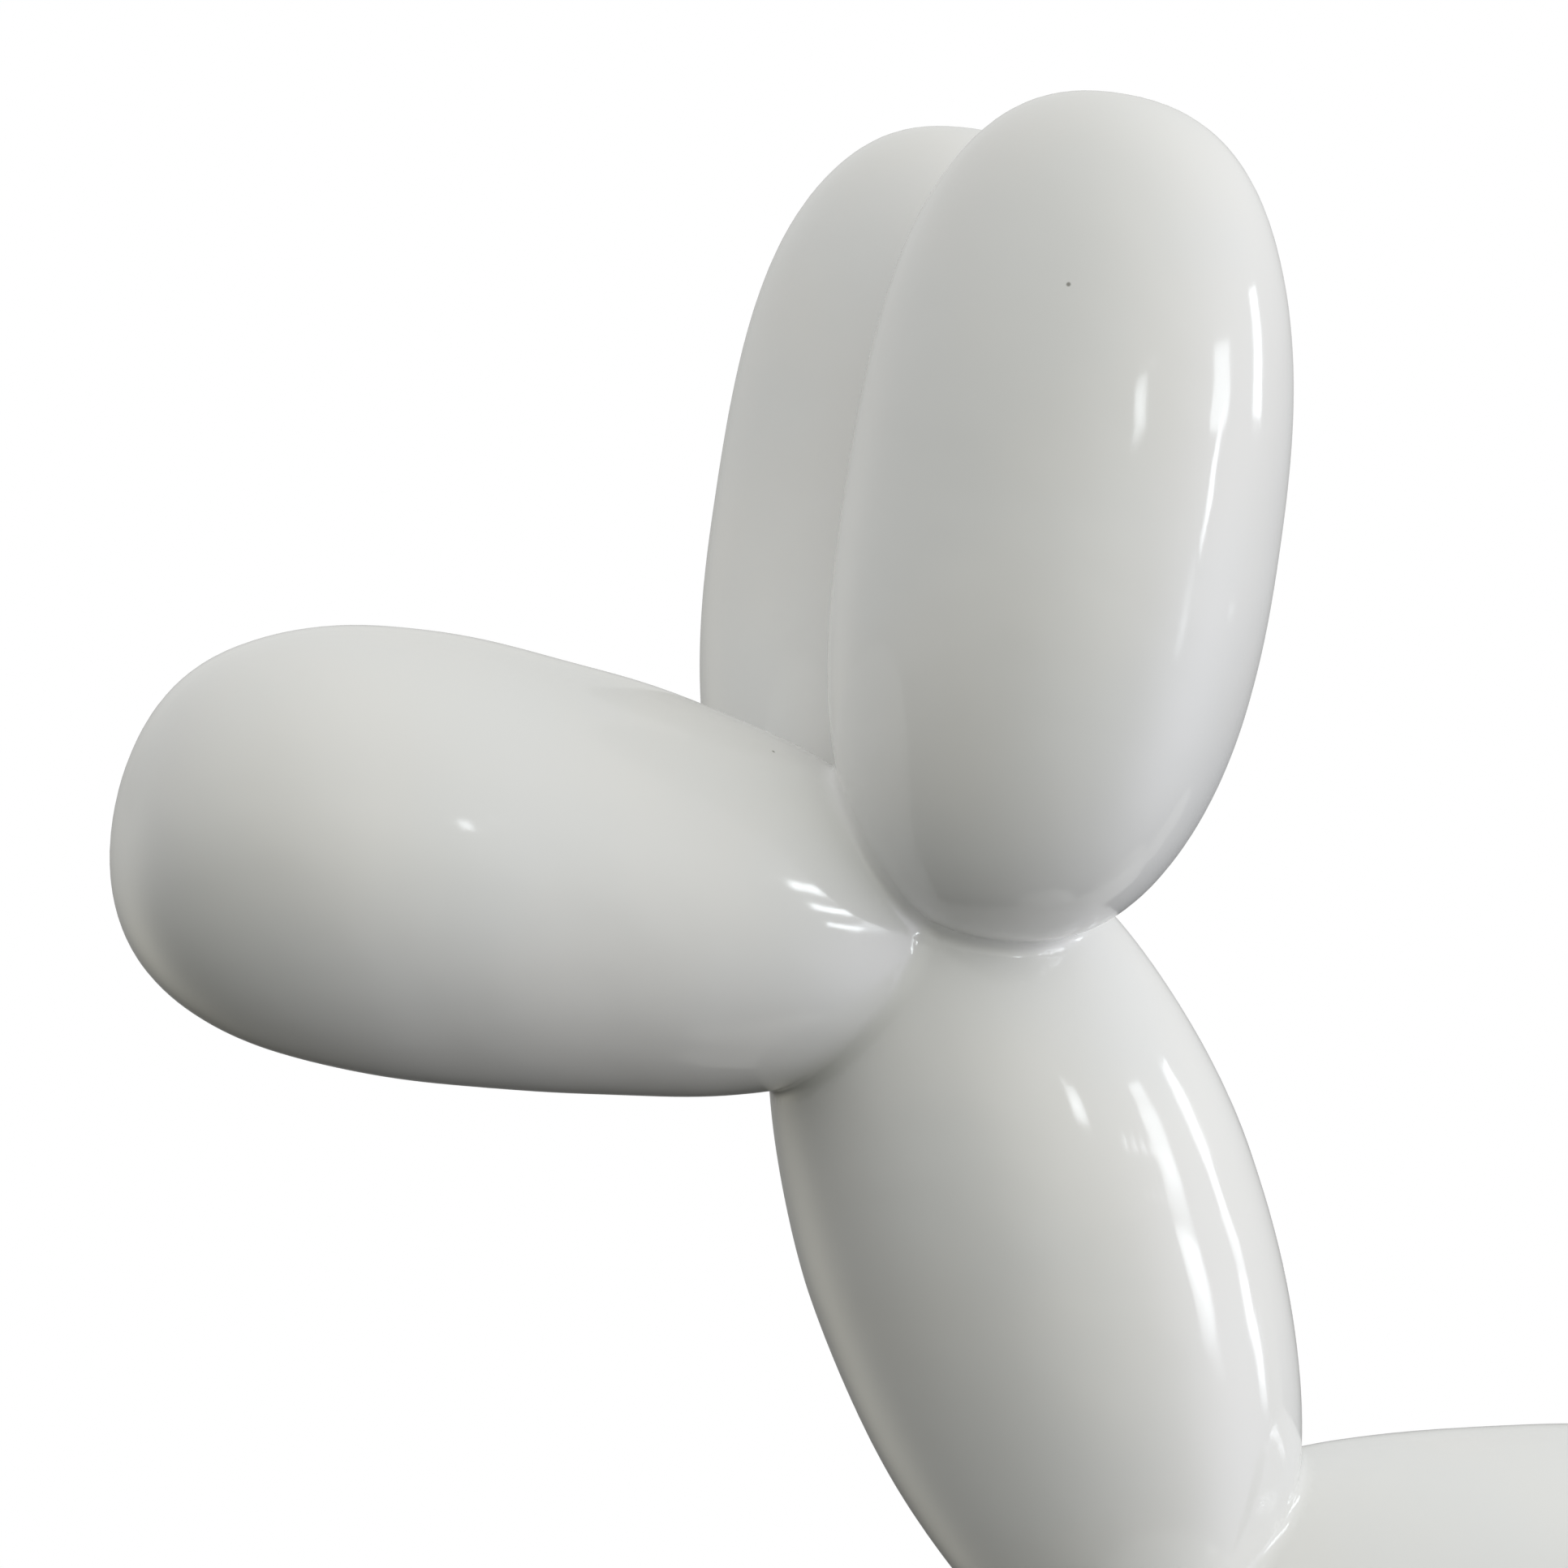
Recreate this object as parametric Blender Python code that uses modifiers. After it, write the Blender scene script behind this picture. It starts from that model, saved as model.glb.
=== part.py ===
"""A balloon dog sculpture, moulded as one solid piece that stands on four flat feet.

Metres and degrees. The dog faces -Y, its left side is +X and up is +Z. The origin is on the floor, under the
middle of the bounding box.

Every balloon is a turned shape with a slight bow. It grows from a twist, a point where balloons meet, in a
direction given by two angles: lean is measured from straight up towards the tail, and splay is outwards from
the dog's middle plane. The length of the legs sets the height of the shoulder twist. The neck leads from there
to the head twist, and the body leads to the hip twist.
"""

import math
from collections import namedtuple

import bpy
from mathutils import Matrix, Vector

# A balloon's outline is a superellipse whose exponent is the fullness of each end: 2 is an ellipse, and more is
# blunter. The tip is the end away from the twist, and the root is the other end. A positive taper makes the
# tip's half fatter. The bow is how far the middle stands off the straight line between the ends, on the side
# that faces back or up.
Balloon = namedtuple("Balloon", "length diameter tip_fullness root_fullness taper bow")

SNOUT = Balloon(
    length=0.381, diameter=0.183, tip_fullness=2.50, root_fullness=2.41, taper=0.183, bow=0.0043
)
EAR = Balloon(
    length=0.3635, diameter=0.187, tip_fullness=2.51, root_fullness=2.40, taper=-0.017, bow=0.0033
)
NECK = Balloon(
    length=0.416, diameter=0.202, tip_fullness=1.75, root_fullness=2.22, taper=0.018, bow=0.0041
)
BODY = Balloon(
    length=0.426, diameter=0.184, tip_fullness=2.40, root_fullness=2.40, taper=0.0, bow=0.0
)
LEG = Balloon(
    length=0.360, diameter=0.182, tip_fullness=2.45, root_fullness=2.30, taper=-0.017, bow=0.0
)
TAIL = Balloon(
    length=0.230, diameter=0.124, tip_fullness=2.40, root_fullness=2.20, taper=0.06, bow=0.0
)

SNOUT_LEAN = -80.1
EAR_LEAN = 8.5
EAR_SPLAY = 1.7
NECK_LEAN = -20.6
BODY_LEAN = 90.0
LEG_STRIDE = 3.0
LEG_SPLAY = 2.0
TAIL_LEAN = 32.0

# How far a balloon's root reaches back past the twist that it grows from, into its neighbours. An ear starts
# just above its twist.
SNOUT_SINK = 0.018
EAR_SINK = -0.0045
NECK_SINK = 0.0106
BODY_SINK = 0.042
LEG_SINK = 0.024
TAIL_SINK = 0.030

# How far the tip of the neck and of the body reaches past the twist that it leads to.
NECK_TIP_SINK = 0.079
BODY_TIP_SINK = 0.021

# How far below the head twist the snout starts.
SNOUT_DROP = 0.004

# Distance of a paired balloon's root from the middle plane, as a share of its diameter. It is under a half, so
# that the two balloons of a pair merge along the middle.
EAR_SPREAD = 0.418
LEG_SPREAD = 0.415

# Height of the round end that the floor cuts off each foot.
FOOT_CUT = 0.008

# Facets around a balloon, and from its tip to its root.
SIDES = 28
RINGS = 16

# The block below the floor is larger than any footprint, and deeper than any cut.
FLOOR_SIDE = 4.0
FLOOR_DEPTH = 0.5

GLOSS_WHITE = (0.82, 0.82, 0.80, 1.0)
GLOSS_ROUGHNESS = 0.06

# Facets that meet at less than this many degrees are shaded as one smooth surface.
CREASE_ANGLE = 30.0

# Points closer than this are one point, and points closer than this to the middle plane lie on it.
WELD_DISTANCE = 0.00001


def outline(shape):
    """(radius, height) points of a balloon's outline from tip to root, about its centre."""
    points = []
    for ring in range(RINGS + 1):
        angle = math.pi * ring / RINGS
        fullness = shape.tip_fullness if ring <= RINGS / 2 else shape.root_fullness
        height = math.copysign(abs(math.cos(angle)) ** (2 / fullness), math.cos(angle))
        radius = abs(math.sin(angle)) ** (2 / fullness) * (1 + shape.taper * height)
        points.append((radius * shape.diameter / 2, height * shape.length / 2))
    points[0] = (0.0, shape.length / 2)
    points[-1] = (0.0, -shape.length / 2)
    return points


def arc_angle(rise, chord):
    """The angle that a shallow arc turns through, for its rise over its chord."""
    return 4 * math.atan(2 * rise / chord)


def placing(lean, splay=0.0):
    """Turns a balloon's +Z axis to the direction in which it grows."""
    return Matrix.Rotation(-math.radians(lean), 3, "X") @ Matrix.Rotation(math.radians(splay), 3, "Y")


def shoulder_height():
    """Height of the twists above the legs that leaves FOOT_CUT of each leg's round end below the floor."""
    down = -(placing(180 - LEG_STRIDE, LEG_SPLAY) @ Vector((0, 0, 1))).z
    across = math.sqrt(1 - down**2)
    lowest = max(radius * across + height * down for radius, height in outline(LEG))
    return lowest + (LEG.length / 2 - LEG_SINK) * down - FOOT_CUT


def clear_scene():
    for item in list(bpy.data.objects):
        bpy.data.objects.remove(item)


def new_collection(name):
    collection = bpy.data.collections.new(name)
    bpy.context.scene.collection.children.link(collection)
    return collection


def gloss_white():
    material = bpy.data.materials.new("gloss_white")
    material.use_nodes = True
    shader = material.node_tree.nodes["Principled BSDF"]
    shader.inputs["Base Color"].default_value = GLOSS_WHITE
    shader.inputs["Roughness"].default_value = GLOSS_ROUGHNESS
    shader.inputs["Metallic"].default_value = 0.0
    return material


def add_helper(item, collection):
    """Files an object that shapes the dog and isn't itself a piece of it."""
    item.hide_render = True
    item.display_type = "WIRE"
    collection.objects.link(item)
    return item


def make_balloon(name, shape, twist, lean, sink, splay=0.0, spread=0.0):
    """A balloon that grows from a twist, or from a point to its left at spread times its diameter."""
    points = outline(shape)
    mesh = bpy.data.meshes.new(name)
    edges = [(ring, ring + 1) for ring in range(RINGS)]
    mesh.from_pydata([(radius, 0, height) for radius, height in points], edges, [])
    balloon = bpy.data.objects.new(name, mesh)
    turn = balloon.modifiers.new("turn", "SCREW")
    turn.steps = turn.render_steps = SIDES
    turn.use_merge_vertices = True
    turn.merge_threshold = WELD_DISTANCE
    if shape.bow:
        bow = balloon.modifiers.new("bow", "SIMPLE_DEFORM")
        bow.deform_method = "BEND"
        bow.deform_axis = "X"
        bow.angle = -arc_angle(shape.bow, shape.length)
    turned = placing(lean, splay)
    root = twist + Vector((spread * shape.diameter, 0, 0))
    balloon.location = root + turned @ Vector((0, shape.bow, shape.length / 2 - sink))
    balloon.rotation_euler = turned.to_euler()
    return balloon


def make_balloons():
    """The balloons of the middle plane and of the left side, in place around the three twists."""
    shoulder = Vector((0, 0, shoulder_height()))
    neck_run = NECK.length - NECK_SINK - NECK_TIP_SINK
    body_run = BODY.length - BODY_SINK - BODY_TIP_SINK
    head = shoulder + placing(NECK_LEAN) @ Vector((0, 0, neck_run))
    hip = shoulder + placing(BODY_LEAN) @ Vector((0, 0, body_run))
    snout_twist = head - Vector((0, 0, SNOUT_DROP))
    front, hind = 180 + LEG_STRIDE, 180 - LEG_STRIDE
    return [
        make_balloon("neck", NECK, shoulder, NECK_LEAN, NECK_SINK),
        make_balloon("snout", SNOUT, snout_twist, SNOUT_LEAN, SNOUT_SINK),
        make_balloon("body", BODY, shoulder, BODY_LEAN, BODY_SINK),
        make_balloon("tail", TAIL, hip, TAIL_LEAN, TAIL_SINK),
        make_balloon("ear", EAR, head, EAR_LEAN, EAR_SINK, EAR_SPLAY, EAR_SPREAD),
        make_balloon("front_leg", LEG, shoulder, front, LEG_SINK, LEG_SPLAY, LEG_SPREAD),
        make_balloon("hind_leg", LEG, hip, hind, LEG_SINK, LEG_SPLAY, LEG_SPREAD),
    ]


def make_floor():
    """The block below the floor, which cuts the feet flat."""
    bpy.ops.mesh.primitive_cube_add(size=1, location=(0, 0, -FLOOR_DEPTH / 2))
    floor = bpy.context.active_object
    floor.name = "floor"
    floor.data.transform(Matrix.Diagonal((FLOOR_SIDE, FLOOR_SIDE, FLOOR_DEPTH, 1)))
    for collection in list(floor.users_collection):
        collection.objects.unlink(floor)
    return floor


def add_boolean(target, operation, other):
    modifier = target.modifiers.new(other.name, "BOOLEAN")
    modifier.operation = operation
    modifier.object = other


def joined_mesh(balloons, floor):
    """One closed mesh of the balloons above the floor and their mirror images, centred over the origin."""
    first, *others = balloons
    for other in others:
        add_boolean(first, "UNION", other)
    add_boolean(first, "DIFFERENCE", floor)
    mirror = first.modifiers.new("right_side", "MIRROR")
    mirror.use_bisect_axis[0] = True
    mirror.bisect_threshold = WELD_DISTANCE
    mirror.merge_threshold = WELD_DISTANCE
    bpy.context.view_layer.update()
    graph = bpy.context.evaluated_depsgraph_get()
    mesh = bpy.data.meshes.new_from_object(first.evaluated_get(graph))
    mesh.transform(first.matrix_world)
    along = [vertex.co.y for vertex in mesh.vertices]
    mesh.transform(Matrix.Translation((0, -(min(along) + max(along)) / 2, 0)))
    mesh.shade_smooth()
    mesh.set_sharp_from_angle(angle=math.radians(CREASE_ANGLE))
    return mesh


def main():
    clear_scene()
    pieces = new_collection("balloon_dog_sculpture")
    helpers = new_collection("balloons_and_floor")
    balloons = [add_helper(balloon, helpers) for balloon in make_balloons()]
    floor = add_helper(make_floor(), helpers)
    mesh = joined_mesh(balloons, floor)
    mesh.materials.clear()
    mesh.materials.append(gloss_white())
    pieces.objects.link(bpy.data.objects.new("balloon_dog", mesh))


main()
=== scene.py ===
"""Looks of the balloon dog sculpture: a glossy white moulding in soft studio light.

Metres. The dog faces -Y, its left side is +X and up is +Z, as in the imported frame. The skin is one closed
surface around all the balloons. It follows the smooth union of their distance fields, so the creases have
fillets, and its triangles get smaller towards the creases.
"""

import math
from collections import namedtuple

import bpy
import numpy as np
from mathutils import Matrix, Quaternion, Vector


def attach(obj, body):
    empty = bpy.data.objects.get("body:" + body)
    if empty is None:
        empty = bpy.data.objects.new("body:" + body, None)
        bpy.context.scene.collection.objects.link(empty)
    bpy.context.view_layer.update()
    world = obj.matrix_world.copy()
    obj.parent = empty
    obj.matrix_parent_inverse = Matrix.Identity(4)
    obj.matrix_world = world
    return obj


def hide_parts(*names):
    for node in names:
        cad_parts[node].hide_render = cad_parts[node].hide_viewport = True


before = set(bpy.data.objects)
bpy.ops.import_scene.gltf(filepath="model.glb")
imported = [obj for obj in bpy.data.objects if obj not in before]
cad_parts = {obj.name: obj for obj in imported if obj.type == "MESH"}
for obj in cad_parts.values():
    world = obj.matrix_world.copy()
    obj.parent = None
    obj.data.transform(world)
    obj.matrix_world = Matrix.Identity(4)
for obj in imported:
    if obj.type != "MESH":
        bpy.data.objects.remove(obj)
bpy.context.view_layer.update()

# A balloon's outline is a superellipse whose exponent is the fullness of each end: 2 is an ellipse, and more is
# blunter. The tip is the end away from the twist that it grows from. A positive taper makes the tip's half
# fatter. The bow is how far the middle stands off the straight line between the ends. The bulge widens the
# root's half from side to side, most about halfway to the root.
Balloon = namedtuple("Balloon", "length diameter tip_fullness root_fullness taper bow bulge", defaults=[0.0])
Placed = namedtuple("Placed", "shape centre axes fillet")

SNOUT = Balloon(0.381, 0.183, tip_fullness=2.62, root_fullness=2.41, taper=0.183, bow=0.0043, bulge=0.42)
EAR = Balloon(0.3635, 0.187, tip_fullness=2.51, root_fullness=2.40, taper=-0.017, bow=0.0033)
NECK = Balloon(0.416, 0.202, tip_fullness=1.75, root_fullness=2.22, taper=0.018, bow=0.0041)
BODY = Balloon(0.426, 0.184, tip_fullness=2.40, root_fullness=2.40, taper=0.0, bow=0.0)
LEG = Balloon(0.360, 0.182, tip_fullness=2.45, root_fullness=2.30, taper=-0.017, bow=0.0)
TAIL = Balloon(0.230, 0.124, tip_fullness=2.40, root_fullness=2.20, taper=0.06, bow=0.0)

# Directions in degrees: lean is from straight up towards the tail, and splay is outwards.
SNOUT_LEAN = -80.1
EAR_LEAN = 8.5
EAR_SPLAY = 1.7
NECK_LEAN = -20.6
BODY_LEAN = 90.0
LEG_STRIDE = 3.0
LEG_SPLAY = 2.0
TAIL_LEAN = 32.0

# How far roots reach back past the twists that they grow from, and tips past those that they lead to.
SNOUT_SINK = 0.018
EAR_SINK = -0.0045
NECK_SINK = 0.0106
BODY_SINK = 0.042
LEG_SINK = 0.024
TAIL_SINK = 0.030
NECK_TIP_SINK = 0.079
BODY_TIP_SINK = 0.021
SNOUT_DROP = 0.004
EAR_SPREAD = 0.418
LEG_SPREAD = 0.415
FOOT_CUT = 0.008

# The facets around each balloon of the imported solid, and from its tip to its root. They set how far the legs
# reach down, and where the middle of the whole is.
PACKED_SIDES = 28
PACKED_RINGS = 16

# The radius of the fillets in the creases, those around the ears, and those round the flats under the feet.
FILLET = 0.006
EAR_FILLET = 0.008
FOOT_FILLET = 0.002

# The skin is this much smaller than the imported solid, so that its waves stay inside it.
SKIN_SCALE = 0.9955

# Slow waves that hand sanding left in the skin: how many cross it, their lengths, and the height of each.
WAVES = 14
WAVE_LENGTHS = (0.06, 0.16)
WAVE_HEIGHT = 0.00008
WAVE_SEED = 5

# The skin is grown from rough balloons with this many facets around and from tip to root. They are joined in
# voxels of this size.
ROUGH_SIDES = 72
ROUGH_RINGS = 48
VOXEL = 0.0058

# Edge lengths of the skin: in the creases, and far from them, and how fast they grow with the distance. An edge is
# halved where it is longer than the wanted length by the given factor.
FINE_EDGE = 0.0018
COARSE_EDGE = 0.0064
EDGE_GROWTH = 0.28
LONG_EDGE = 1.45
SPLIT_ROUNDS = 4

# How far relaxing moves a point towards the middle of its neighbours, as a share of the way.
RELAX_SHARE = 0.5

# The least value that the square of the distance's slope is taken to have, so that no point is moved too far.
LEAST_STEEPNESS = 0.05

# A length too short to matter, which takes the place of zero in divisions.
TINY = 1e-12


def turning(lean, splay=0.0):
    """Columns are a balloon's own axes in the frame. Its own +Z is the direction in which it grows."""
    lean, splay = math.radians(lean), math.radians(splay)
    about_x = np.array([[1, 0, 0], [0, math.cos(lean), math.sin(lean)], [0, -math.sin(lean), math.cos(lean)]])
    about_y = np.array([[math.cos(splay), 0, math.sin(splay)], [0, 1, 0], [-math.sin(splay), 0, math.cos(splay)]])
    return about_x @ about_y


def outline(shape, steps):
    """(radius, height) points of a balloon's outline from tip to root, about its centre."""
    angle = np.linspace(0, math.pi, steps + 1)
    fullness = np.where(angle <= math.pi / 2, shape.tip_fullness, shape.root_fullness)
    height = np.sign(np.cos(angle)) * np.abs(np.cos(angle)) ** (2 / fullness)
    radius = np.abs(np.sin(angle)) ** (2 / fullness) * (1 + shape.taper * height)
    return radius * shape.diameter / 2, height * shape.length / 2


def place(shape, twist, lean, sink, splay=0.0, spread=0.0, side=1, fillet=FILLET):
    """A balloon that grows from a twist, or from a point beside it at spread times its diameter."""
    axes = turning(lean, side * splay)
    root = twist + np.array([side * spread * shape.diameter, 0, 0])
    return Placed(shape, root + axes @ np.array([0, 0, shape.length / 2 - sink]), axes, fillet)


def place_balloons():
    """All ten balloons, around three twists, with the feet on the floor."""
    down = -turning(180 - LEG_STRIDE, LEG_SPLAY)[2, 2]
    radius, height = outline(LEG, PACKED_RINGS)
    lowest = np.max(radius * math.sqrt(1 - down**2) + height * down)
    shoulder = np.array([0, 0, lowest + (LEG.length / 2 - LEG_SINK) * down - FOOT_CUT])
    neck_run = NECK.length - NECK_SINK - NECK_TIP_SINK
    body_run = BODY.length - BODY_SINK - BODY_TIP_SINK
    head = shoulder + turning(NECK_LEAN)[:, 2] * neck_run
    hip = shoulder + turning(BODY_LEAN)[:, 2] * body_run
    placed = [
        place(NECK, shoulder, NECK_LEAN, NECK_SINK),
        place(SNOUT, head - np.array([0, 0, SNOUT_DROP]), SNOUT_LEAN, SNOUT_SINK),
        place(BODY, shoulder, BODY_LEAN, BODY_SINK),
        place(TAIL, hip, TAIL_LEAN, TAIL_SINK),
    ]
    for side in (1, -1):
        placed += [
            place(EAR, head, EAR_LEAN, EAR_SINK, EAR_SPLAY, EAR_SPREAD, side, EAR_FILLET),
            place(LEG, shoulder, 180 + LEG_STRIDE, LEG_SINK, LEG_SPLAY, LEG_SPREAD, side),
            place(LEG, hip, 180 - LEG_STRIDE, LEG_SINK, LEG_SPLAY, LEG_SPREAD, side),
        ]
    return placed


def surface_points(balloon, sides, rings):
    """Points on one balloon, ring by ring from tip to root."""
    shape = balloon.shape
    radius, height = outline(shape, rings)
    angle = np.linspace(0, 2 * math.pi, sides, endpoint=False)
    along = 2 * height / shape.length
    bow = shape.bow * (1 - along**2)
    rootward = np.minimum(along, 0)
    widening = 1 + shape.bulge * rootward**2 * (1 - rootward**2)
    local = np.stack([
        (radius * widening)[:, None] * np.cos(angle),
        radius[:, None] * np.sin(angle) + bow[:, None],
        np.repeat(height[:, None], sides, 1),
    ], -1)
    return local.reshape(-1, 3) @ balloon.axes.T + balloon.centre


def balloon_mesh(balloon):
    """A closed mesh of one balloon."""
    sides, rings = ROUGH_SIDES, ROUGH_RINGS
    points = surface_points(balloon, sides, rings)
    tip, rings_between, root = points[:1], points[sides:-sides], points[-1:]
    vertices = np.vstack([tip, rings_between, root])
    last = len(vertices) - 1
    faces = []
    for i in range(sides):
        j = (i + 1) % sides
        faces.append((0, 1 + i, 1 + j))
        faces.append((last, last - sides + j, last - sides + i))
        for ring in range(rings - 2):
            low = 1 + ring * sides
            faces.append((low + i, low + sides + i, low + sides + j, low + j))
    mesh = bpy.data.meshes.new("balloon")
    mesh.from_pydata(vertices.tolist(), [], faces)
    return mesh


def balloon_distance(points, balloon):
    """Distance of points from one balloon's surface, to first order, and its slope. Inside is negative."""
    shape = balloon.shape
    half, radius = shape.length / 2, shape.diameter / 2
    local = (points - balloon.centre) @ balloon.axes
    along = local[:, 2] / half
    rootward = np.clip(along, -1, 0)
    widening = 1 + shape.bulge * rootward**2 * (1 - rootward**2)
    x, y = local[:, 0] / widening, local[:, 1] - shape.bow * (1 - along**2)
    across = np.sqrt(x**2 + y**2) + TINY
    width = 1 + shape.taper * along
    power = np.where(along > 0, shape.tip_fullness, shape.root_fullness)
    wide, tall = across / (radius * width), np.abs(along) + TINY
    total = wide**power + tall**power
    size = total ** (1 / power)
    by_wide = size / total * wide ** (power - 1)
    by_tall = size / total * tall ** (power - 1) * np.sign(along)
    by_along = by_tall - by_wide * wide * shape.taper / width
    by_across = by_wide / (radius * width)
    by_x, by_y = by_across * x / across, by_across * y / across
    by_widening = -by_x * x / widening * shape.bulge * (2 * rootward - 4 * rootward**3)
    slope = np.stack([
        by_x / widening,
        by_y,
        (by_along + by_widening + by_y * 2 * shape.bow * along) / half,
    ], -1)
    steep = np.linalg.norm(slope, axis=1)
    return (size - 1) / steep, (slope / steep[:, None]) @ balloon.axes.T


def joined(distance, slope, other_distance, other_slope, fillet):
    """The distance from the union of two shapes with a fillet in their crease, and its slope."""
    sunk, other_sunk = np.maximum(fillet - distance, 0), np.maximum(fillet - other_distance, 0)
    depth = np.hypot(sunk, other_sunk)
    nearer = other_distance < distance
    share = np.where(depth > 0, sunk / np.maximum(depth, TINY), ~nearer)[:, None]
    other_share = np.where(depth > 0, other_sunk / np.maximum(depth, TINY), nearer)[:, None]
    total = np.maximum(np.minimum(distance, other_distance), fillet) - depth
    return total, share * slope + other_share * other_slope


def make_waves():
    """Wave vectors, and where each wave starts."""
    random = np.random.default_rng(WAVE_SEED)
    directions = random.normal(size=(WAVES, 3))
    directions /= np.linalg.norm(directions, axis=1)[:, None]
    lengths = np.geomspace(*WAVE_LENGTHS, WAVES)
    return directions * (2 * math.pi / lengths)[:, None], random.uniform(0, 2 * math.pi, WAVES)


WAVE_VECTORS, WAVE_STARTS = make_waves()


def skin_distance(points, balloons):
    """Distance from the dog's skin and its slope: fillets join the balloons, and the floor cuts the feet."""
    total, tilt = balloon_distance(points, balloons[0])
    for balloon in balloons[1:]:
        total, tilt = joined(total, tilt, *balloon_distance(points, balloon), balloon.fillet)
    phase = points @ WAVE_VECTORS.T + WAVE_STARTS
    total = total + WAVE_HEIGHT * np.sin(phase).sum(1)
    tilt = tilt + WAVE_HEIGHT * np.cos(phase) @ WAVE_VECTORS
    above = np.maximum(total + FOOT_FILLET, 0)
    below = np.maximum(FOOT_FILLET - points[:, 2], 0)
    reach = np.hypot(above, below)
    cut = np.minimum(np.maximum(total, -points[:, 2]), -FOOT_FILLET) + reach
    in_cut = below > 0
    share_above = np.where(reach > 0, above / np.maximum(reach, TINY), 0)
    share_below = np.where(reach > 0, below / np.maximum(reach, TINY), 1)
    floor_slope = np.array([0.0, 0.0, -1.0])
    cut_tilt = share_above[:, None] * tilt + share_below[:, None] * floor_slope
    return np.where(in_cut, cut, total), np.where(in_cut[:, None], cut_tilt, tilt)


def crease_gap(points, balloons):
    """How far points on the skin are from the second nearest balloon, a measure of distance from a crease."""
    distance = np.stack([balloon_distance(points, balloon)[0] for balloon in balloons])
    distance = np.vstack([distance, points[None, :, 2]])
    return np.sort(distance, 0)[1]


def onto_skin(points, balloons, rounds=3):
    """Points moved along the slope of the distance until they lie on the skin."""
    for _ in range(rounds):
        distance, slope = skin_distance(points, balloons)
        steep = (slope**2).sum(1)
        points = points - slope * (distance / np.maximum(steep, LEAST_STEEPNESS))[:, None]
    return points


def split_long_edges(points, triangles, balloons):
    """Halves every edge that is too long for its place, and cuts the triangles at it to match."""
    sides = np.stack([triangles[:, [0, 1]], triangles[:, [1, 2]], triangles[:, [2, 0]]], 1)
    edges, which = np.unique(np.sort(sides.reshape(-1, 2), 1), axis=0, return_inverse=True)
    which = which.reshape(-1, 3)
    ends = points[edges]
    length = np.linalg.norm(ends[:, 0] - ends[:, 1], axis=1)
    middle = ends.mean(1)
    wanted = np.clip(FINE_EDGE + EDGE_GROWTH * crease_gap(middle, balloons), FINE_EDGE, COARSE_EDGE)
    long = length > LONG_EDGE * wanted
    if not long.any():
        return points, triangles, False
    number = np.full(len(edges), -1)
    number[long] = len(points) + np.arange(long.sum())
    points = np.vstack([points, onto_skin(middle[long], balloons)])
    a, b, c = triangles.T
    ab, bc, ca = number[which].T
    cuts = (ab >= 0).astype(int) + 2 * (bc >= 0) + 4 * (ca >= 0)
    made = [triangles[cuts == 0]]
    turns = {1: (a, b, c, ab, bc, ca), 2: (b, c, a, bc, ca, ab), 4: (c, a, b, ca, ab, bc)}
    for code, (p, q, r, pq, qr, rp) in turns.items():
        one = cuts == code
        made += [np.stack([p, pq, r], 1)[one], np.stack([pq, q, r], 1)[one]]
        two = cuts == 7 - code
        corner = np.stack([r, rp, qr], 1)[two]
        near = np.linalg.norm(points[p[two]] - points[qr[two]], axis=1)
        far = np.linalg.norm(points[q[two]] - points[rp[two]], axis=1)
        short = (near <= far)[:, None]
        first = np.where(short, np.stack([p, q, qr], 1)[two], np.stack([p, q, rp], 1)[two])
        second = np.where(short, np.stack([p, qr, rp], 1)[two], np.stack([q, qr, rp], 1)[two])
        made += [corner, first, second]
    three = cuts == 7
    made += [np.stack(t, 1)[three] for t in ((a, ab, ca), (ab, b, bc), (ca, bc, c), (ab, bc, ca))]
    return points, np.vstack(made), True


def relax(points, triangles, balloons, rounds):
    """Evens out the triangles by moving points along the skin towards the middle of their neighbours."""
    sides = np.vstack([triangles[:, [0, 1]], triangles[:, [1, 2]], triangles[:, [2, 0]]])
    edges = np.unique(np.sort(sides, 1), axis=0)
    for _ in range(rounds):
        total = np.zeros_like(points)
        count = np.zeros(len(points))
        for near, far in ((0, 1), (1, 0)):
            for axis in range(3):
                total[:, axis] += np.bincount(edges[:, near], points[edges[:, far], axis], len(points))
            count += np.bincount(edges[:, near], minlength=len(points))
        points = points + RELAX_SHARE * (total / count[:, None] - points)
        points = onto_skin(points, balloons, rounds=2)
    return points


def largest_part(points, triangles):
    """The largest connected part of a mesh. The rest are small bubbles inside it."""
    label = np.arange(len(points))
    while True:
        lowest = label.copy()
        np.minimum.at(lowest, triangles.ravel(), np.repeat(label[triangles].min(1), 3))
        lowest = lowest[lowest]
        if (lowest == label).all():
            break
        label = lowest
    part = label[triangles[:, 0]]
    used, numbered = np.unique(triangles[part == np.bincount(part).argmax()], return_inverse=True)
    return points[used], numbered.reshape(-1, 3)


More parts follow.
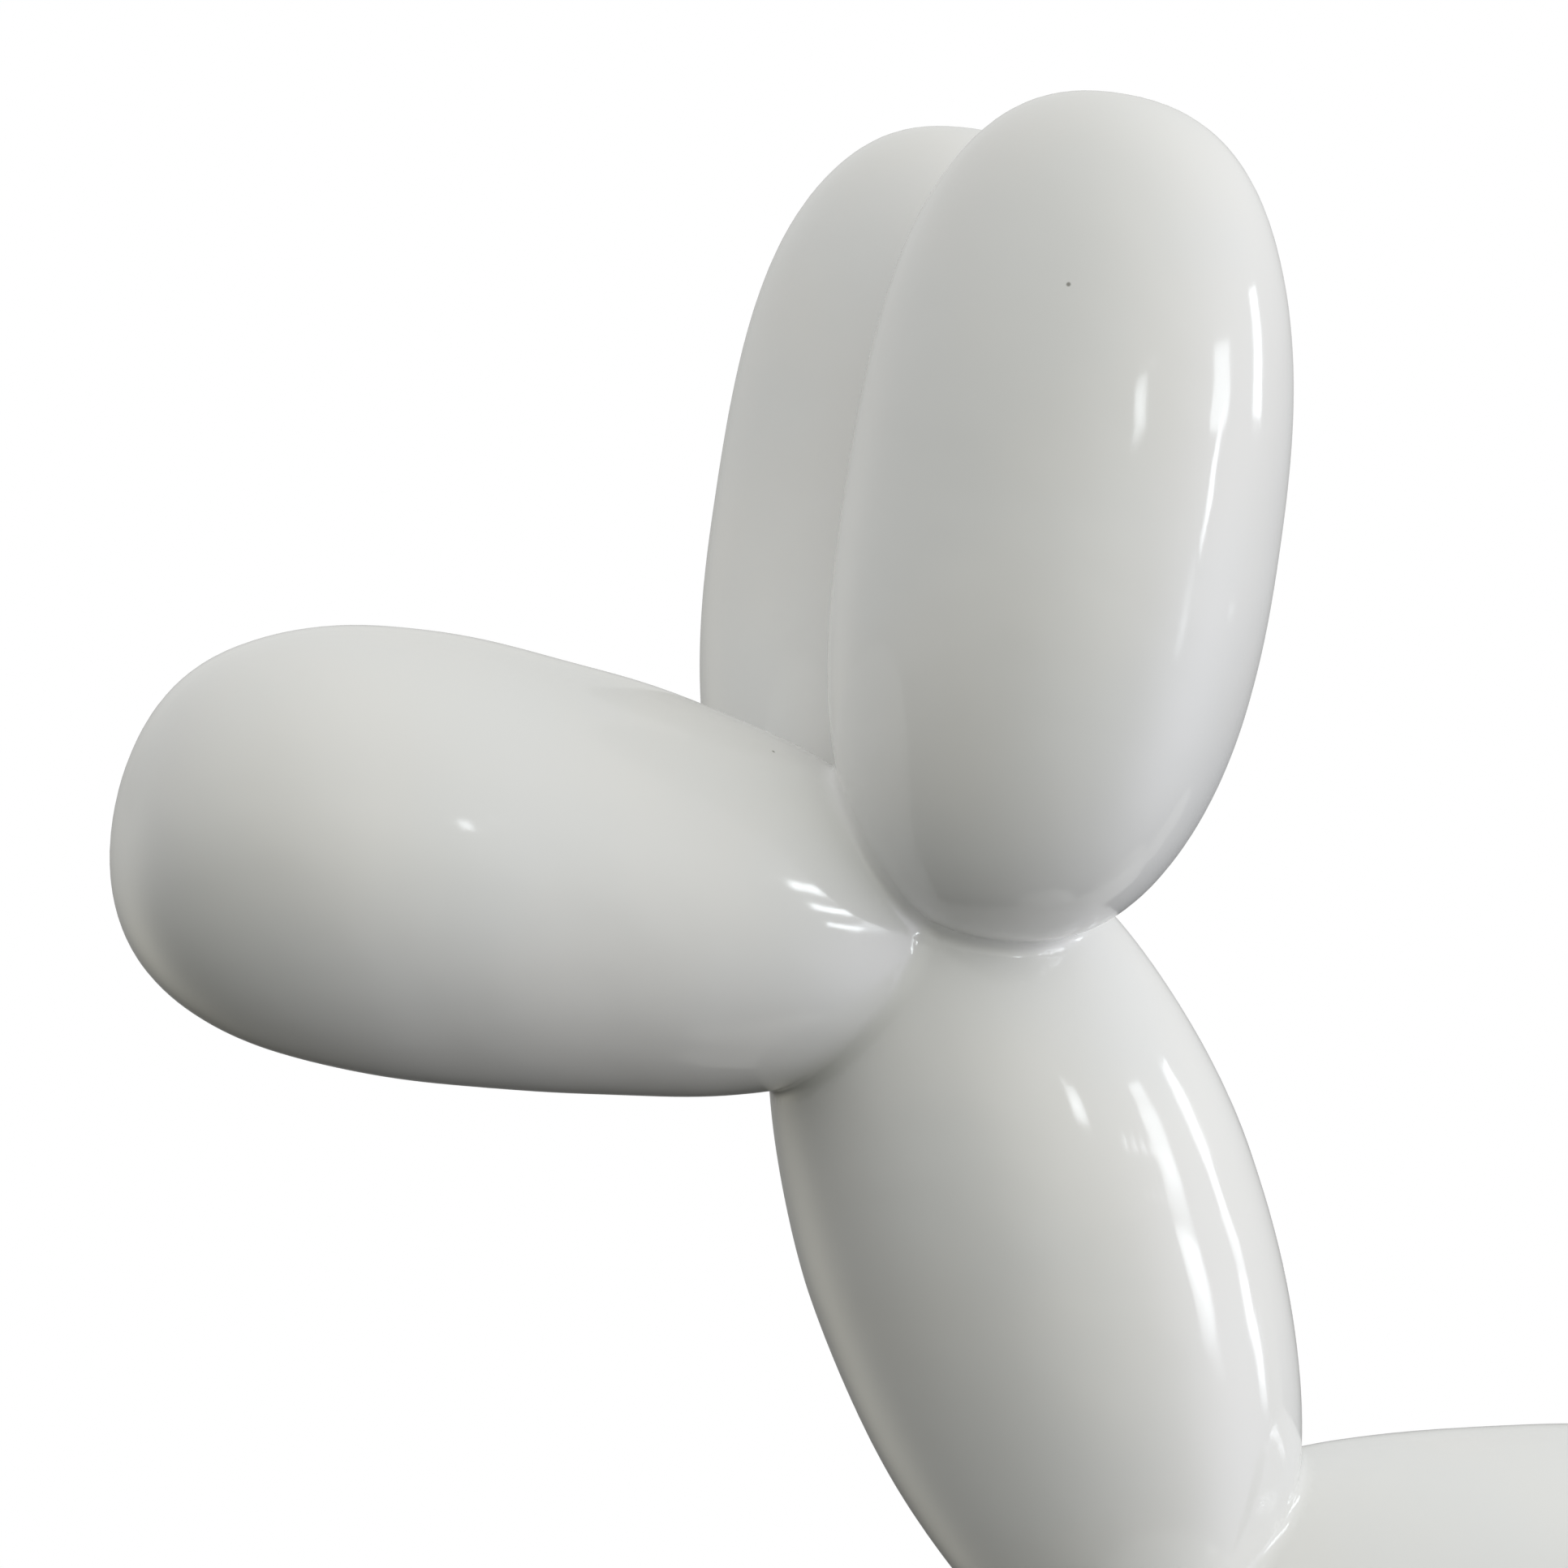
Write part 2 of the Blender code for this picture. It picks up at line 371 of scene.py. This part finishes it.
def rough_skin(balloons):
    """Points and triangles of one closed mesh of all the balloons, joined in voxels."""
    parts = [bpy.data.objects.new("balloon", balloon_mesh(balloon)) for balloon in balloons]
    for part in parts:
        bpy.context.scene.collection.objects.link(part)
    with bpy.context.temp_override(active_object=parts[0], selected_editable_objects=parts):
        bpy.ops.object.join()
    rough = parts[0]
    remesh = rough.modifiers.new("remesh", "REMESH")
    remesh.mode = "VOXEL"
    remesh.voxel_size = VOXEL
    graph = bpy.context.evaluated_depsgraph_get()
    mesh = bpy.data.meshes.new_from_object(rough.evaluated_get(graph))
    bpy.data.objects.remove(rough)
    mesh.calc_loop_triangles()
    points = np.zeros(len(mesh.vertices) * 3)
    mesh.vertices.foreach_get("co", points)
    triangles = np.zeros(len(mesh.loop_triangles) * 3, np.int64)
    mesh.loop_triangles.foreach_get("vertices", triangles)
    return largest_part(points.reshape(-1, 3), triangles.reshape(-1, 3))


def make_skin():
    """The dog's skin: the rough one, moved onto the smooth surface and refined in the creases."""
    balloons = place_balloons()
    ends = np.vstack([surface_points(balloon, PACKED_SIDES, PACKED_RINGS) for balloon in balloons])
    middle = (ends[:, 1].min() + ends[:, 1].max()) / 2
    balloons = [b._replace(centre=b.centre - np.array([0, middle, 0])) for b in balloons]
    points, triangles = rough_skin(balloons)
    points = onto_skin(points, balloons, rounds=5)
    points = relax(points, triangles, balloons, rounds=4)
    for _ in range(SPLIT_ROUNDS):
        points, triangles, more = split_long_edges(points, triangles, balloons)
        if not more:
            break
        points = relax(points, triangles, balloons, rounds=2)
    points = onto_skin(points, balloons, rounds=4)
    skin_mesh = bpy.data.meshes.new("balloon_dog_skin")
    skin_mesh.from_pydata((points * SKIN_SCALE).tolist(), [], triangles.tolist())
    skin_mesh.shade_smooth()
    slope = skin_distance(points, balloons)[1]
    slope /= np.linalg.norm(slope, axis=1)[:, None]
    skin_mesh.normals_split_custom_set_from_vertices(slope.tolist())
    skin = bpy.data.objects.new("balloon_dog_skin", skin_mesh)
    bpy.context.scene.collection.objects.link(skin)
    return skin


# The gloss coat: two whites that it drifts between, and the two ends of its roughness.
WHITE_WARM = (0.885, 0.880, 0.868, 1.0)
WHITE_COOL = (0.868, 0.872, 0.870, 1.0)
GLOSS_RANGE = (0.065, 0.115)

# Sizes of the coat's patterns in metres: drifts of tone, polishing haze, ripples and orange peel. The last two are
# also given a height.
TONE_SIZE = 0.12
HAZE_SIZE = 0.03
RIPPLE_SIZE, RIPPLE_HEIGHT = 0.035, 0.00045
PEEL_SIZE, PEEL_HEIGHT = 0.0032, 0.000006

# The middle part of a noise, which is spread over the whole range: of tone, and of haze.
TONE_SPAN = (0.35, 0.65)
HAZE_SPAN = (0.3, 0.7)

# Specks of dust under the coat: how far apart, how large, and the share of places that have one. A speck fades
# between two shares of its radius.
SPECK_SPACING = 0.045
SPECK_RADIUS = 0.0006
SPECK_SHARE = 0.12
SPECK_FADE = (0.6, 1.6)
SPECK_GREY = (0.33, 0.32, 0.30, 1.0)

# A small dark grey spot painted on the outer side of the left ear. It is full inside the given share of its radius.
DARK_SPOT_PLACE = Vector((0.1615, -0.1225, 0.9099)) * SKIN_SCALE
DARK_SPOT_RADIUS = 0.0013
DARK_SPOT_CORE = 0.4


def link(tree, source, target):
    """Joins one node's output to another's input."""
    tree.links.new(source, target)


def noise(tree, place, size, detail=2.0):
    """A noise from 0 to 1 with features of about the given size in metres."""
    node = tree.nodes.new("ShaderNodeTexNoise")
    node.inputs["Scale"].default_value = 1 / size
    node.inputs["Detail"].default_value = detail
    link(tree, place, node.inputs["Vector"])
    return node.outputs["Fac"]


def ramp(tree, value, low, high, to_low=0.0, to_high=1.0):
    """A value moved smoothly from one range to another."""
    node = tree.nodes.new("ShaderNodeMapRange")
    node.interpolation_type = "SMOOTHSTEP"
    node.inputs["From Min"].default_value, node.inputs["From Max"].default_value = low, high
    node.inputs["To Min"].default_value, node.inputs["To Max"].default_value = to_low, to_high
    link(tree, value, node.inputs["Value"])
    return node.outputs["Result"]


def mixed(tree, share, first, second):
    """A mix of two colours. Each is a constant or another node's output."""
    node = tree.nodes.new("ShaderNodeMix")
    node.data_type = "RGBA"
    link(tree, share, node.inputs["Factor"])
    for socket, colour in ((node.inputs[6], first), (node.inputs[7], second)):
        if isinstance(colour, tuple):
            socket.default_value = colour
        else:
            link(tree, colour, socket)
    return node.outputs[2]


def math_node(tree, operation, first, second):
    """What an operation makes of two values. Each is a number or another node's output."""
    node = tree.nodes.new("ShaderNodeMath")
    node.operation = operation
    for socket, value in zip(node.inputs, (first, second)):
        if isinstance(value, (int, float)):
            socket.default_value = value
        else:
            link(tree, value, socket)
    return node.outputs["Value"]


def speck_mask(tree, place):
    """1 in the middle of each dust speck and 0 between them."""
    cells = tree.nodes.new("ShaderNodeTexVoronoi")
    cells.inputs["Scale"].default_value = 1 / SPECK_SPACING
    link(tree, place, cells.inputs["Vector"])
    lot = tree.nodes.new("ShaderNodeSeparateColor")
    link(tree, cells.outputs["Color"], lot.inputs["Color"])
    chosen = math_node(tree, "LESS_THAN", lot.outputs["Red"], SPECK_SHARE)
    start, end = (share * SPECK_RADIUS / SPECK_SPACING for share in SPECK_FADE)
    dot = ramp(tree, cells.outputs["Distance"], start, end, to_low=1.0, to_high=0.0)
    return math_node(tree, "MULTIPLY", dot, chosen)


def dark_spot_mask(tree, place):
    """1 in the dark grey spot on the left ear and 0 elsewhere."""
    gap = tree.nodes.new("ShaderNodeVectorMath")
    gap.operation = "DISTANCE"
    gap.inputs[1].default_value = DARK_SPOT_PLACE
    link(tree, place, gap.inputs[0])
    core = DARK_SPOT_CORE * DARK_SPOT_RADIUS
    return ramp(tree, gap.outputs["Value"], core, DARK_SPOT_RADIUS, to_low=1.0, to_high=0.0)


def bump(tree, height, distance, normal=None):
    """A normal tilted by a height from 0 to 1, on top of another normal if given. The distance is that of 1."""
    node = tree.nodes.new("ShaderNodeBump")
    node.inputs["Distance"].default_value = distance
    link(tree, height, node.inputs["Height"])
    if normal:
        link(tree, normal, node.inputs["Normal"])
    return node.outputs["Normal"]


def gloss_white():
    """White gel coat, polished: slight drifts of tone and gloss, ripples, orange peel, specks and a small dark grey
    spot.
    """
    material = bpy.data.materials.new("gloss_white")
    material.use_nodes = True
    tree = material.node_tree
    shader = tree.nodes["Principled BSDF"]
    place = tree.nodes.new("ShaderNodeTexCoord").outputs["Object"]
    white = mixed(tree, ramp(tree, noise(tree, place, TONE_SIZE), *TONE_SPAN), WHITE_WARM, WHITE_COOL)
    marks = math_node(tree, "MAXIMUM", speck_mask(tree, place), dark_spot_mask(tree, place))
    link(tree, mixed(tree, marks, white, SPECK_GREY), shader.inputs["Base Color"])
    haze = ramp(tree, noise(tree, place, HAZE_SIZE, detail=4.0), *HAZE_SPAN, *GLOSS_RANGE)
    link(tree, haze, shader.inputs["Roughness"])
    ripples = bump(tree, noise(tree, place, RIPPLE_SIZE, detail=1.0), RIPPLE_HEIGHT)
    peel = bump(tree, noise(tree, place, PEEL_SIZE, detail=0.0), PEEL_HEIGHT, ripples)
    link(tree, peel, shader.inputs["Normal"])
    return material


# The camera's direction from the dog in degrees, the point that it looks at, its distance, the share of that
# distance that half of the picture spans, and its sensor's width in millimetres.
CAMERA_AZIMUTH = 70.0
CAMERA_ELEVATION = -0.67
CAMERA_TARGET = Vector((0.0, -0.18958, 0.70372)) * SKIN_SCALE
CAMERA_DISTANCE = 3.5 * SKIN_SCALE
HALF_VIEW = 0.0966
SENSOR_WIDTH = 36.0


def towards(azimuth, elevation):
    """A direction from the dog: azimuth in degrees from its front towards its left, and elevation."""
    azimuth, elevation = math.radians(azimuth), math.radians(elevation)
    level = math.cos(elevation)
    return Vector((math.sin(azimuth) * level, -math.cos(azimuth) * level, math.sin(elevation)))


def add_camera():
    """The photo's camera."""
    data = bpy.data.cameras.new("camera")
    data.sensor_width = SENSOR_WIDTH
    data.lens = SENSOR_WIDTH / 2 / HALF_VIEW
    camera = bpy.data.objects.new("camera", data)
    direction = towards(CAMERA_AZIMUTH, CAMERA_ELEVATION)
    camera.location = CAMERA_TARGET + CAMERA_DISTANCE * direction
    camera.rotation_euler = direction.to_track_quat("Z", "Y").to_euler()
    bpy.context.scene.collection.objects.link(camera)
    bpy.context.scene.camera = camera


# The floor is pale near the dog and fades into the white backdrop between these distances from it. It lies a hair
# under the feet. Its tone drifts slightly between two greys.
FLOOR_FADE = (1.0, 2.4)
FLOOR_GAP = 0.0002
FLOOR_PALE = (0.865, 0.865, 0.855, 1.0)
FLOOR_DULL = (0.850, 0.850, 0.842, 1.0)
FLOOR_TONE_SIZE = 0.35
FLOOR_ROUGHNESS = 0.6


def floor_pale():
    """Matt pale paper that turns clear with the distance from the dog."""
    material = bpy.data.materials.new("floor_pale")
    material.use_nodes = True
    tree = material.node_tree
    shader = tree.nodes["Principled BSDF"]
    place = tree.nodes.new("ShaderNodeTexCoord").outputs["Object"]
    tone = ramp(tree, noise(tree, place, FLOOR_TONE_SIZE), *TONE_SPAN)
    link(tree, mixed(tree, tone, FLOOR_PALE, FLOOR_DULL), shader.inputs["Base Color"])
    shader.inputs["Roughness"].default_value = FLOOR_ROUGHNESS
    distance = tree.nodes.new("ShaderNodeVectorMath")
    distance.operation = "LENGTH"
    fade = tree.nodes.new("ShaderNodeMapRange")
    fade.interpolation_type = "SMOOTHSTEP"
    fade.inputs["From Min"].default_value, fade.inputs["From Max"].default_value = FLOOR_FADE
    clear = tree.nodes.new("ShaderNodeBsdfTransparent")
    mix = tree.nodes.new("ShaderNodeMixShader")
    link(tree, place, distance.inputs[0])
    link(tree, distance.outputs["Value"], fade.inputs["Value"])
    link(tree, fade.outputs["Result"], mix.inputs["Fac"])
    link(tree, shader.outputs["BSDF"], mix.inputs[1])
    link(tree, clear.outputs["BSDF"], mix.inputs[2])
    link(tree, mix.outputs["Shader"], tree.nodes["Material Output"].inputs["Surface"])
    return material


def add_floor():
    """A pale floor that takes the dog's shadow, and throws no light back up at it."""
    half = FLOOR_FADE[1]
    mesh = bpy.data.meshes.new("floor")
    mesh.from_pydata([(-half, -half, 0), (half, -half, 0), (half, half, 0), (-half, half, 0)], [], [(0, 1, 2, 3)])
    mesh.materials.append(floor_pale())
    floor = bpy.data.objects.new("floor", mesh)
    floor.location.z = -FLOOR_GAP
    floor.visible_diffuse = floor.visible_glossy = floor.visible_shadow = False
    bpy.context.scene.collection.objects.link(floor)


# The soft light around the dog: a ceiling that starts above the horizon, between two sines of the elevation, and
# broad lobes of light, each with its direction, how narrow it is, and its colour.
Lobe = namedtuple("Lobe", "azimuth elevation narrowness colour")
CEILING = (0.753, 0.756, 0.740)
CEILING_START = (-0.35, 0.39)
LOBES = [
    Lobe(154.0, -14.0, 9.6, (1.64, 1.63, 1.82)),
    Lobe(-64.0, -20.0, 16.0, (0.81, 0.79, 0.68)),
    Lobe(99.0, -5.0, 6.6, (0.65, 0.66, 0.56)),
]


def with_lobe(tree, direction, total, lobe):
    """The total light of a direction with that of one lobe added."""
    along = tree.nodes.new("ShaderNodeVectorMath")
    along.operation = "DOT_PRODUCT"
    along.inputs[1].default_value = towards(lobe.azimuth, lobe.elevation)
    link(tree, direction, along.inputs[0])
    fall = tree.nodes.new("ShaderNodeMath")
    fall.operation = "MULTIPLY_ADD"
    fall.inputs[1].default_value, fall.inputs[2].default_value = lobe.narrowness, -lobe.narrowness
    link(tree, along.outputs["Value"], fall.inputs[0])
    power = tree.nodes.new("ShaderNodeMath")
    power.operation = "EXPONENT"
    link(tree, fall.outputs["Value"], power.inputs[0])
    glow = tree.nodes.new("ShaderNodeVectorMath")
    glow.operation = "MULTIPLY_ADD"
    glow.inputs[0].default_value = lobe.colour
    link(tree, power.outputs["Value"], glow.inputs[1])
    link(tree, total, glow.inputs[2])
    return glow.outputs["Vector"]


def add_soft_light():
    """A white backdrop for the camera, with a dome of soft light in its place for everything else."""
    world = bpy.data.worlds.new("studio")
    bpy.context.scene.world = world
    world.use_nodes = True
    tree = world.node_tree
    direction = tree.nodes.new("ShaderNodeTexCoord").outputs["Generated"]
    height = tree.nodes.new("ShaderNodeSeparateXYZ")
    link(tree, direction, height.inputs["Vector"])
    start = tree.nodes.new("ShaderNodeMapRange")
    start.interpolation_type = "SMOOTHSTEP"
    start.inputs["From Min"].default_value, start.inputs["From Max"].default_value = CEILING_START
    link(tree, height.outputs["Z"], start.inputs["Value"])
    ceiling = tree.nodes.new("ShaderNodeVectorMath")
    ceiling.operation = "SCALE"
    ceiling.inputs[0].default_value = CEILING
    link(tree, start.outputs["Result"], ceiling.inputs["Scale"])
    total = ceiling.outputs["Vector"]
    for lobe in LOBES:
        total = with_lobe(tree, direction, total, lobe)
    light = tree.nodes["Background"]
    link(tree, total, light.inputs["Color"])
    white = tree.nodes.new("ShaderNodeBackground")
    white.inputs["Color"].default_value = (1, 1, 1, 1)
    path = tree.nodes.new("ShaderNodeLightPath")
    mix = tree.nodes.new("ShaderNodeMixShader")
    link(tree, path.outputs["Is Camera Ray"], mix.inputs["Fac"])
    link(tree, light.outputs["Background"], mix.inputs[1])
    link(tree, white.outputs["Background"], mix.inputs[2])
    link(tree, mix.outputs["Shader"], tree.nodes["World Output"].inputs["Surface"])


# Panes of light that the gloss mirrors as streaks. They stand in a ring around the dog. A pane without an aim faces
# level and lights all around. Those with an aim have a grid that keeps their light within spread degrees around the
# line to the part that mirrors them, and they show in the gloss only. The lean is how far the top is turned towards
# higher azimuths, in degrees.
ALL_AROUND = 180.0
PANE_FIELDS = "name azimuth width bottom top aim spread brightness lean"
Pane = namedtuple("Pane", PANE_FIELDS, defaults=[None, ALL_AROUND, 1.0, 0.0])
PANE_DISTANCE = 1.69
PANE_COLOUR = (4.8, 5.1, 5.3)
SNOUT_AIM = Vector((0.094, -0.362, 0.685))
SNOUT_ROOT_AIM = Vector((0.083, -0.195, 0.650))
EAR_AIM = Vector((0.176, -0.092, 0.860))
NECK_TOP_AIM = Vector((0.095, -0.092, 0.570))
NECK_AIM = Vector((0.100, -0.060, 0.400))
NECK_BASE_AIM = Vector((0.100, -0.060, 0.300))
PANES = [
    Pane("pane_glint", 102.0, 0.08, 0.99, 1.10, SNOUT_AIM, 14.0, 2.2),
    Pane("pane_near_ear", 103.5, 0.16, 1.05, 1.16, EAR_AIM, 14.0, 1.6),
    Pane("pane_near_neck", 110.0, 0.16, 0.96, 1.20, NECK_TOP_AIM, 14.0, 2.0),
    Pane("pane_middle_top", 148.0, 0.28, 1.16, 1.28, NECK_AIM, 24.0, 1.5),
    Pane("pane_middle_high", 148.0, 0.30, 0.92, 1.16),
    Pane("pane_middle_centre", 148.0, 0.28, 0.60, 0.92, NECK_AIM, 24.0, 1.5),
    Pane("pane_middle_low", 148.0, 0.28, 0.20, 0.60, NECK_BASE_AIM, 24.0, 1.8),
    Pane("pane_tail", 147.0, 0.06, 0.66, 0.98, EAR_AIM, 18.0, 2.2, lean=45.0),
    Pane("pane_tail_end", 140.5, 0.10, 0.40, 0.70, EAR_AIM, 18.0, 0.6),
    Pane("pane_far_high", 175.0, 0.22, 0.90, 1.29),
    Pane("pane_far_centre", 175.0, 0.16, 0.60, 0.90, NECK_AIM, 24.0, 1.5),
    Pane("pane_far_low", 175.0, 0.16, 0.20, 0.60, NECK_BASE_AIM, 24.0, 1.8),
]

# Three rows of strips that the snout's root mirrors beside the ear: the first and last azimuth, bottom and top of
# each.
STRIP_ROWS = [(124.5, 143.0, 0.93, 1.06), (127.5, 145.0, 0.69, 0.78), (131.0, 144.0, 0.45, 0.51)]
STRIPS_IN_ROW = 4
STRIP_SPREAD = 9.0
STRIP_BRIGHTNESS = 3.6


def strips():
    """Each row of strips as panes side by side."""
    panes = []
    for row, (first, last, bottom, top) in enumerate(STRIP_ROWS):
        step = (last - first) / STRIPS_IN_ROW
        width = PANE_DISTANCE * math.radians(step)
        for place_in_row in range(STRIPS_IN_ROW):
            azimuth = first + (place_in_row + 0.5) * step
            name = f"strip_{row}_{place_in_row}"
            panes.append(Pane(name, azimuth, width, bottom, top, SNOUT_ROOT_AIM, STRIP_SPREAD, STRIP_BRIGHTNESS))
    return panes


def add_panes():
    """The panes and strips as area lights, each turned towards its aim."""
    brightest = max(PANE_COLOUR)
    for pane in PANES + strips():
        half = math.radians(pane.spread / 2)
        grid_share = 1 - half / math.tan(half) if pane.aim else 1
        data = bpy.data.lights.new(pane.name, "AREA")
        data.shape = "RECTANGLE"
        data.size, data.size_y = pane.width, pane.top - pane.bottom
        data.energy = math.pi * data.size * data.size_y * brightest * pane.brightness * grid_share
        data.color = [channel / brightest for channel in PANE_COLOUR]
        data.spread = 2 * half
        item = bpy.data.objects.new(pane.name, data)
        item.location = PANE_DISTANCE * towards(pane.azimuth, 0)
        item.location += Vector((0, CAMERA_TARGET.y, (pane.bottom + pane.top) / 2))
        facing = item.location - pane.aim if pane.aim else towards(pane.azimuth, 0)
        lean = Quaternion((0, 0, 1), -math.radians(pane.lean))
        item.rotation_euler = (facing.to_track_quat("Z", "Y") @ lean).to_euler()
        item.visible_camera = False
        item.visible_diffuse = pane.aim is None
        bpy.context.scene.collection.objects.link(item)


bpy.context.scene.view_settings.view_transform = "Standard"
add_camera()
add_floor()
add_soft_light()
add_panes()
skin = make_skin()
skin.data.materials.append(gloss_white())
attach(skin, "root")
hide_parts("balloon_dog")
